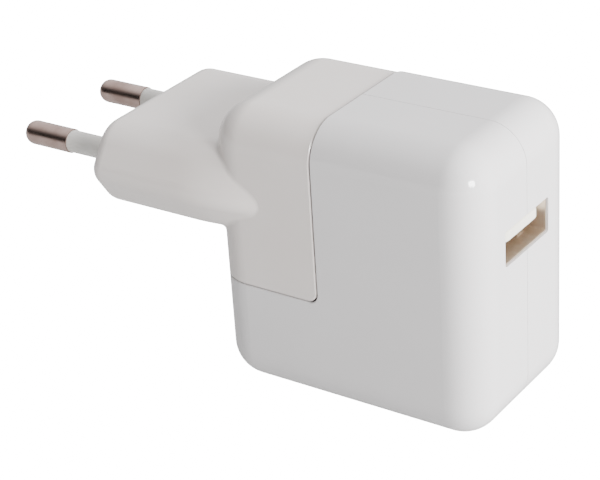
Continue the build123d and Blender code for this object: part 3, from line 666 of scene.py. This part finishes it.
@dataclass
class RingChoke(SubAssembly):
    """Ring core wound with two copper wires. Sizes in millimetres."""

    bore: float = 2.3
    core_power: int = 5
    core_steps: int = 48
    wire: float = 0.34
    wire_power: int = 4
    turns: int = 9
    turn_steps: int = 40
    gap_deg: float = 24.0

    def build(self) -> None:
        """Core = a rounded rectangle turned about X; each wire winds round it as it goes round the ring.

        With w the wire's own turn and a its way round the ring, out = half * cos(w) and along =
        half * sin(w), pushed out to a rounded square. The point is (along, ring * cos(a), ring * sin(a)).
        """
        low, high = box_mm("choke_core")
        centre = (low + high) / 2
        outer, thick = (high[2] - low[2]) / 2, high[0] - low[0]
        middle, half = (outer + self.bore) / 2, (outer - self.bore) / 2
        turn = np.linspace(0, 2 * math.pi, self.core_steps, endpoint=False)
        reach = squared(turn, self.core_power)
        profile = np.stack([middle + half * np.cos(turn) * reach, thick / 2 * np.sin(turn) * reach], axis=1)
        core = turned(profile * MM, centre * MM, 0, RING_STEPS)
        self.piece("choke_ring", [core], "ferrite", ("choke_core",))
        s = np.linspace(0, 1, self.turns * self.turn_steps)
        wrap = 2 * math.pi * self.turns * s
        reach = squared(wrap, self.wire_power)
        out = (half + self.wire) * np.cos(wrap) * reach
        along = (thick / 2 + self.wire) * np.sin(wrap) * reach
        skins = []
        for start in (90 + self.gap_deg, 270 + self.gap_deg):
            around = np.radians(start + (180 - 2 * self.gap_deg) * s)
            cos, sin = np.cos(around), np.sin(around)
            path = centre + np.stack([along, (middle + out) * cos, (middle + out) * sin], axis=1)
            away = np.stack([along, out * cos, out * sin], axis=1)
            skins.append(carried(path * MM, round_section(self.wire * MM), away))
        self.piece("choke_wire", skins, "copper_wire", ("choke_windings",))


@dataclass
class Transformer(SubAssembly):
    """The flyback transformer's windings and the tape round them. Sizes in millimetres."""

    bore: float = 3.25
    end_gap: float = 0.05
    wire_inset: float = 0.2
    wire_bulge: float = 0.14
    wire_pitch: float = 0.5
    wire_steps: int = 320
    tape_share: float = 0.62
    tape_lift: float = 0.2
    tape_gap: float = 0.02
    tape_step: float = 0.05
    tape_laps: int = 2
    tape_steps: int = 60

    def build(self) -> None:
        """Wire: radius = coil + bulge * |sin(pi * height / pitch)|. Tape: a band that rises at each lap."""
        low, high = box_mm("transformer_winding")
        axis = np.array([(low[0] + high[0]) / 2, (low[1] + high[1]) / 2, 0.0]) * MM
        coil = (high[0] - low[0]) / 2 - self.wire_inset
        z = np.linspace(low[2] + self.end_gap, high[2] - self.end_gap, self.wire_steps)
        ripple = self.wire_bulge * np.abs(np.sin(math.pi * (z - low[2]) / self.wire_pitch))
        wall = np.stack([coil + ripple, z], axis=1)
        wire = np.concatenate([wall, [[self.bore, z[-1]], [self.bore, z[0]]]])
        middle, half = (low[2] + high[2]) / 2, (high[2] - low[2]) / 2 * self.tape_share
        t = np.linspace(-1, 1, self.tape_steps)
        laps = np.round(self.tape_laps * (1 - t ** 2)) / self.tape_laps
        band = np.stack([coil + self.tape_lift + self.tape_step * laps, middle + half * t], axis=1)
        under = coil + self.tape_gap
        tape = np.concatenate([band, [[under, middle + half], [under, middle - half]]])
        for name, loop, slot_name in (("transformer_wire", wire, "copper_wire"),
                                      ("transformer_tape", tape, "winding_tape")):
            self.piece(name, [turned(loop * MM, axis, 2, COIL_STEPS)], slot_name, ("transformer_winding",))


@dataclass
class CanCapacitors(SubAssembly):
    """The electrolytic cans: sleeve, crimped groove and scored aluminium top. Sizes in millimetres."""

    groove_height: float = 2.0
    groove_depth: float = 0.4
    groove_run: float = 0.42
    foot_round: float = 0.35
    shoulder_round: float = 0.5
    side_steps: int = 120
    curl_steps: int = 10
    lap: float = 0.9
    # The sleeve's cut edge: how far in from the lap, and how far down from the top.
    lip: tuple[tuple[float, float], ...] = ((0.0, 0.0), (0.04, 0.08), (0.05, 0.3))
    top_drop: float = 0.12
    top_foot: float = 0.32
    top_gap: float = 0.1
    top_skirt: float = 0.06
    top_start: float = 0.05
    top_rings: int = 40
    score_depth: float = 0.14
    score_run: float = 0.16
    score_share: float = 0.72

    def sleeve(self, place: np.ndarray, radius: float, tall: float) -> Skin:
        """One sleeve: radius - depth * exp(-((height - groove) / run) ** 2), between two quarter rounds.

        Args:
            place: The middle of the can's foot, in metres.
            radius: Its outer radius.
            tall: Its height.

        Returns:
            The sleeve's skin.
        """
        height = np.linspace(self.foot_round, tall - self.shoulder_round, self.side_steps)
        dent = self.groove_depth * np.exp(-(((height - self.groove_height) / self.groove_run) ** 2))
        curl = np.linspace(0, math.pi / 2, self.curl_steps)
        foot = np.stack([radius - self.foot_round * (1 - np.sin(curl)),
                         self.foot_round * (1 - np.cos(curl))], axis=1)
        shoulder = np.stack([radius - self.shoulder_round * (1 - np.cos(curl)),
                             tall - self.shoulder_round * (1 - np.sin(curl))], axis=1)
        side = np.stack([radius - dent, height], axis=1)
        lip = np.array([radius - self.lap, tall]) - np.array(self.lip)
        profile = np.concatenate([[[0, 0]], foot, side, shoulder[1:], lip, [[0, lip[-1, 1]]]])
        return turned(profile * MM, place, 2, COIL_STEPS)

    def top(self, place: np.ndarray, radius: float, tall: float) -> Skin:
        """One top, scored with a cross: depth * exp(-(d / run) ** 2), d from the nearer of two lines.

        Args:
            place: The middle of the can's foot, in metres.
            radius: Its outer radius.
            tall: Its height.

        Returns:
            The top's skin.
        """
        rim = radius - self.lap
        r = np.concatenate([[0], np.linspace(self.top_start, rim - self.top_gap, self.top_rings),
                            [rim - self.top_skirt, 0]])
        level = np.full_like(r, tall - self.top_drop)
        level[-2:] = tall - self.top_foot
        top = turned(np.stack([r, level], axis=1) * MM, place, 2, TOP_STEPS)
        offset = (top.points - place) / MM
        nearest = np.minimum(np.abs(offset[:, 0]), np.abs(offset[:, 1]))
        scored = np.hypot(offset[:, 0], offset[:, 1]) < rim * self.score_share
        upper = offset[:, 2] > tall - (self.top_drop + self.top_foot) / 2
        cut = self.score_depth * np.exp(-((nearest / self.score_run) ** 2)) * scored * upper
        top.points[:, 2] -= cut * MM
        return top

    def build(self) -> None:
        """Both pairs of cans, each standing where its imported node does."""
        for node in ("bulk_capacitors", "output_capacitors"):
            low, high = box_mm(node)
            radius, tall = (high[0] - low[0]) / 2, high[2] - low[2]
            x, y = (low[0] + high[0]) / 2, high[1] - radius
            places = [np.array([x, side * y, low[2]]) * MM for side in (-1, 1)]
            name = node.split("_")[0]
            sleeves = [self.sleeve(place, radius, tall) for place in places]
            tops = [self.top(place, radius, tall) for place in places]
            self.piece(f"{name}_can_sleeves", sleeves, "can_sleeve", (node,))
            self.piece(f"{name}_can_tops", tops, "spreader_aluminium", (node,))


@dataclass
class DrumInductor(SubAssembly):
    """Ferrite drum with rounded flanges and a wound waist. Sizes in millimetres."""

    # A flange's edge: how far in from the rim, and the height from the drum's face.
    flange: tuple[tuple[float, float], ...] = ((0.2, 0.0), (0.05, 0.05), (0.0, 0.2), (0.0, 0.8), (0.1, 0.95))
    flange_thick: float = 1.0
    waist: float = 2.1
    coat: float = 2.35
    bulge: float = 0.12
    pitch: float = 0.45
    end_gap: float = 0.05
    under_gap: float = 0.02
    steps: int = 160

    def build(self) -> None:
        """Core: a flange's edge and its mirror image, turned. Wire: coat + bulge * |sin(pi * z / pitch)|."""
        low, high = box_mm("filter_inductor")
        place = np.array([(low[0] + high[0]) / 2, (low[1] + high[1]) / 2, low[2]]) * MM
        tall, big = high[2] - low[2], (high[0] - low[0]) / 2
        edge = np.array(self.flange)
        lower = np.concatenate([[[0, 0]], np.stack([big - edge[:, 0], edge[:, 1]], axis=1),
                                [[self.waist, self.flange_thick]]])
        upper = lower[::-1] * (1, -1) + (0, tall)
        profile = np.concatenate([lower, upper])
        self.piece("drum_core", [turned(profile * MM, place, 2)], "ferrite", ("filter_inductor",))
        margin = self.flange_thick + self.end_gap
        z = np.linspace(margin, tall - margin, self.steps)
        coat = np.stack([self.coat + self.bulge * np.abs(np.sin(math.pi * z / self.pitch)), z], axis=1)
        under = self.waist + self.under_gap
        loop = np.concatenate([coat, [[under, z[-1]], [under, z[0]]]])
        self.piece("drum_wire", [turned(loop * MM, place, 2)], "copper_wire", ("filter_inductor",))


@dataclass
class Fuse(SubAssembly):
    """Ceramic tube between two pressed caps. Sizes in millimetres."""

    tube_inset: float = 0.2
    tube_short: float = 0.4
    cap_length: float = 2.2
    # A cap's edge: how far in from its radius, and how far back from its end.
    cap: tuple[tuple[float, float], ...] = ((0.45, 0.0), (0.1, 0.12), (0.0, 0.4), (0.0, 2.2), (0.12, 2.3),
                                            (0.25, 2.2))

    def build(self) -> None:
        """Tube and caps are straight profiles turned about X."""
        low, high = box_mm("fuse")
        centre = (low + high) / 2
        radius, half = (high[2] - low[2]) / 2, (high[0] - low[0]) / 2
        wall, end = radius - self.tube_inset, half - self.tube_short
        tube = np.array([[0, -end], [wall, -end], [wall, end], [0, end]])
        self.piece("fuse_tube", [turned(tube * MM, centre * MM, 0)], "fuse_body", ("fuse",))
        edge = np.array([radius, half]) - np.array(self.cap)
        cap = np.concatenate([[[0, half]], edge, [[0, half - self.cap_length]]])
        skins = [turned(cap * (1, way) * MM, centre * MM, 0) for way in (-1, 1)]
        self.piece("fuse_caps", skins, "post_tin", ("fuse",))


@dataclass
class DiscCapacitor(SubAssembly):
    """Dipped disc on two bent leads. Sizes in millimetres."""

    power: float = 0.55
    steps: int = 40
    lead: float = 0.3
    lead_apart: float = 2.4
    # A lead's corners: inwards along X, aside along Y, and up from the disc's middle, its foot (twice) and
    # the board's top.
    corners: tuple[tuple[float, float, float], ...] = ((0.9, 0.0, -2.4), (0.3, 0.0, 0.9), (0.0, 0.5, 0.1),
                                                       (0.0, 0.7, -2.0))

    def build(self) -> None:
        """Coat: radius * cos(a) ** power at half * sin(a) along Y, turned; leads: wires down to the board."""
        low, high = box_mm("y_capacitor")
        centre, radius, half = (low + high) / 2, (high[0] - low[0]) / 2, (high[1] - low[1]) / 2
        turn = np.linspace(-math.pi / 2, math.pi / 2, self.steps)
        r = radius * np.cos(turn) ** self.power
        r[[0, -1]] = 0
        profile = np.stack([r, half * np.sin(turn)], axis=1)
        self.piece("disc_coat", [turned(profile * MM, centre * MM, 1)], "disc_blue", ("y_capacitor",))
        bases = (centre[2], low[2], low[2], box_mm("primary_board")[1][2])
        leads = []
        for side in (-1, 1):
            x = centre[0] + side * self.lead_apart
            points = [(x - side * inwards, centre[1] + side * aside, base + rise)
                      for (inwards, aside, rise), base in zip(self.corners, bases)]
            leads.append(carried(bent(points), round_section(self.lead * MM), ALONG[1]))
        self.piece("disc_leads", leads, "post_tin")


@dataclass
class PackageLeads(SubAssembly):
    """Gull-wing leads of the flat packages. Sizes in millimetres."""

    wide: float = 0.5
    thick: float = 0.18
    reach: tuple[float, ...] = (-0.4, 0.25, 0.45, 0.6, 1.2)
    steps: int = 14

    def row(self, node: str, count: int, along: int, side: int, board: float) -> list[Skin]:
        """Leads of one side of a package: out of its side, down, and flat along the board.

        Args:
            node: The package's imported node.
            count: Number of leads.
            along: 0 or 1 for the axis that the row follows.
            side: -1 or 1 for the side.
            board: Height of the board's face.

        Returns:
            The leads' skins.
        """
        low, high = box_mm(node)
        out = 1 - along
        edge = high[out] if side > 0 else low[out]
        middle = (low[2] + high[2]) / 2
        rest = board + math.copysign(self.thick / 2, middle - board)
        heights = (middle, middle, (middle + rest) / 2, rest, rest)
        corners = [(edge + side * reach, height) for reach, height in zip(self.reach, heights)]
        section = strip_section(self.wide * MM, self.thick * MM)
        skins = []
        for place in np.linspace(low[along], high[along], count + 2)[1:-1]:
            points = [(place, a, b) if along == 0 else (a, place, b) for a, b in corners]
            skins.append(carried(bent(points, self.steps), section, ALONG[along]))
        return skins

    def build(self) -> None:
        """Leads of the bridge rectifier, the controller, the optocoupler and the output rectifier."""
        primary_low, primary_high = box_mm("primary_board")
        usb_top = box_mm("secondary_board")[1][2]
        # For each piece: its package, the leads on a side, the axis that the row follows, the board's face.
        rows = {
            "bridge_leads": ("bridge_rectifier", 2, 1, primary_high[2]),
            "controller_leads": ("controller_chip", 4, 0, primary_low[2]),
            "optocoupler_leads": ("optocoupler", 2, 0, usb_top),
            "rectifier_leads": ("output_rectifier", 3, 1, usb_top),
        }
        for name, (node, count, along, board) in rows.items():
            skins = [skin for side in (-1, 1) for skin in self.row(node, count, along, side, board)]
            self.piece(name, skins, "post_tin")


@dataclass
class SolderJoints(SubAssembly):
    """Solder where the link posts go through the boards. Sizes in millimetres."""

    neck: float = 0.42
    spread: float = 0.6
    gap: float = 0.01
    tall: float = 0.75
    low_tall: float = 0.5
    inset: float = 0.35
    steps: int = 14

    def build(self) -> None:
        """Each joint is a concave cone: radius = neck + spread * (1 - h) ** 2, h the share of its height."""
        h = np.linspace(0, 1, self.steps)
        low, high = box_mm("board_link_pins")
        posts = [(x, y) for x in (low[0] + self.inset, high[0] - self.inset)
                 for y in (low[1] + self.inset, high[1] - self.inset)]
        skins = []
        for node, face in (("primary_board", 1), ("primary_board", 0), ("secondary_board", 1),
                           ("secondary_board", 0)):
            base = box_mm(node)[face][2]
            up = 1 if face else -1
            tall = self.low_tall if (node, face) == ("primary_board", 0) else self.tall
            slope = np.stack([self.neck + self.spread * (1 - h) ** 2, up * (self.gap + tall * h)], axis=1)
            profile = np.concatenate([[[0, up * self.gap]], slope, [[0, up * (self.gap + tall)]]])
            skins += [turned(profile * MM, np.array([x, y, base]) * MM, 2, JOINT_STEPS) for x, y in posts]
        self.piece("solder_joints", skins, "post_tin")


@dataclass(frozen=True)
class SoftLight:
    """A round area light that shines at the charger. Angles in degrees, the azimuth from -Y towards +X."""

    name: str
    azimuth: float
    elevation: float
    distance: float
    size: float
    watts: float
    colour: str = "ffffff"
    mirrored: bool = True

    def make(self, target: Vector) -> None:
        """Put the light on its bearing from the target and turn it to face it.

        Args:
            target: The point that the light shines at.
        """
        lamp = bpy.data.lights.new(self.name, "AREA")
        lamp.shape = "DISK"
        lamp.size = self.size
        lamp.energy = self.watts
        lamp.color = linear(self.colour)[:3]
        lamp_object = bpy.data.objects.new(self.name, lamp)
        turn, lift = math.radians(self.azimuth), math.radians(self.elevation)
        way = Vector((math.sin(turn) * math.cos(lift), -math.cos(turn) * math.cos(lift), math.sin(lift)))
        lamp_object.location = target + way * self.distance
        lamp_object.rotation_euler = way.to_track_quat("Z", "Y").to_euler()
        lamp_object.visible_glossy = self.mirrored
        bpy.context.scene.collection.objects.link(lamp_object)


@dataclass
class Studio:
    """Pale floor, soft lights, pale surroundings and the camera. Lengths in metres, the lens in mm."""

    floor_half: float = 3.0
    floor_drop: float = 0.0001
    floor_glow: float = 0.45
    floor_seen_glow: float = 18.0
    surround: str = "f6f6f7"
    surround_bright: float = 1.75
    surround_span: tuple[float, float] = (-0.1, 0.75)
    surround_seen: float = 18.0
    surround_lean: tuple[float, float, float] = (0.0, 0.6, 0.8)
    eye: tuple[float, float, float] = (0.1411967, -0.2205677, 0.1587086)
    right: tuple[float, float, float] = (0.828175, 0.557375, -0.058816)
    up: tuple[float, float, float] = (-0.212510, 0.409384, 0.887268)
    lens: float = 116.02
    sensor: float = 36.0
    near_clip: float = 0.01
    lights: tuple[SoftLight, ...] = (
        SoftLight("window", azimuth=65, elevation=15.6, distance=0.9, size=0.27, watts=9.5),
        SoftLight("side_key", azimuth=100, elevation=12, distance=1.2, size=0.8, watts=44.0, mirrored=False),
    )

    def make_floor(self) -> None:
        """A flat pale floor just under the housing.

        It looks brighter than the light it gives back, and from below it is clear, so the base can be seen.
        """
        half = self.floor_half
        low = CAD_BOX[0][2] - self.floor_drop
        mesh = bpy.data.meshes.new("floor")
        mesh.from_pydata([(-half, -half, low), (half, -half, low), (half, half, low), (-half, half, low)],
                         [], [(0, 1, 2, 3)])
        floor = bpy.data.objects.new("floor", mesh)
        bpy.context.scene.collection.objects.link(floor)
        material = FLOOR_PAPER.build()
        tree = material.node_tree
        paper = tree.nodes["Principled BSDF"]
        paper.inputs["Emission Color"].default_value = linear("ffffff")
        seen = add(tree, "ShaderNodeLightPath").outputs["Is Camera Ray"]
        glow = add(tree, "ShaderNodeMapRange", links={"Value": seen},
                   values={"To Min": self.floor_glow, "To Max": self.floor_seen_glow})
        tree.links.new(glow.outputs["Result"], paper.inputs["Emission Strength"])
        clear = add(tree, "ShaderNodeBsdfTransparent").outputs["BSDF"]
        under = add(tree, "ShaderNodeNewGeometry").outputs["Backfacing"]
        sides = add(tree, "ShaderNodeMixShader", links={0: under, 1: paper.outputs["BSDF"], 2: clear})
        tree.links.new(sides.outputs["Shader"], tree.nodes["Material Output"].inputs["Surface"])
        mesh.materials.append(material)

    def make_surround(self) -> None:
        """Pale light from above and behind, and a dim room in front.

        The strength grows with the height and the Y of the direction, and what the camera sees is even.
        """
        world = bpy.data.worlds.new("pale_room")
        world.use_nodes = True
        tree = world.node_tree
        background = tree.nodes["Background"]
        way = add(tree, "ShaderNodeTexCoord").outputs["Generated"]
        lean = add(tree, "ShaderNodeVectorMath", {"operation": "DOT_PRODUCT"}, {1: self.surround_lean},
                   {0: way})
        start, full = self.surround_span
        bright = add(tree, "ShaderNodeMapRange", {"interpolation_type": "SMOOTHSTEP"},
                     {"From Min": start, "From Max": full, "To Max": self.surround_bright},
                     {"Value": lean.outputs["Value"]})
        seen = add(tree, "ShaderNodeLightPath").outputs["Is Camera Ray"]
        strength = add(tree, "ShaderNodeMix", {"data_type": "FLOAT"}, {"B": self.surround_seen},
                       {"Factor": seen, "A": bright.outputs["Result"]})
        tree.links.new(strength.outputs["Result"], background.inputs["Strength"])
        background.inputs["Color"].default_value = linear(self.surround)
        bpy.context.scene.world = world

    def make_camera(self) -> None:
        """The camera, from its place and the directions of its right and top edges."""
        right = Vector(self.right).normalized()
        up = Vector(self.up).normalized()
        back = right.cross(up).normalized()
        lens_data = bpy.data.cameras.new("camera")
        lens_data.lens = self.lens
        lens_data.sensor_width = self.sensor
        lens_data.clip_start = self.near_clip
        camera = bpy.data.objects.new("camera", lens_data)
        turn = Matrix((right, up, back)).transposed().to_4x4()
        camera.matrix_world = Matrix.Translation(Vector(self.eye)) @ turn
        bpy.context.scene.collection.objects.link(camera)
        bpy.context.scene.camera = camera

    def make(self) -> None:
        """Set the whole stage up."""
        middle = (Vector(CAD_BOX[0]) + Vector(CAD_BOX[1])) / 2
        self.make_floor()
        self.make_surround()
        for light in self.lights:
            light.make(middle)
        self.make_camera()


def main() -> None:
    """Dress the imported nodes, add the detail pieces and set the stage."""
    logging.basicConfig(level=logging.INFO)
    Studio().make()
    dressing = Dressing()
    dressing.dress_nodes()
    for kind in (UsbReceptacle, LatchPair, RingChoke, Transformer, CanCapacitors, DrumInductor, Fuse,
                 DiscCapacitor, PackageLeads, SolderJoints):
        kind(dressing).build()


if __name__ == "__main__":
    main()
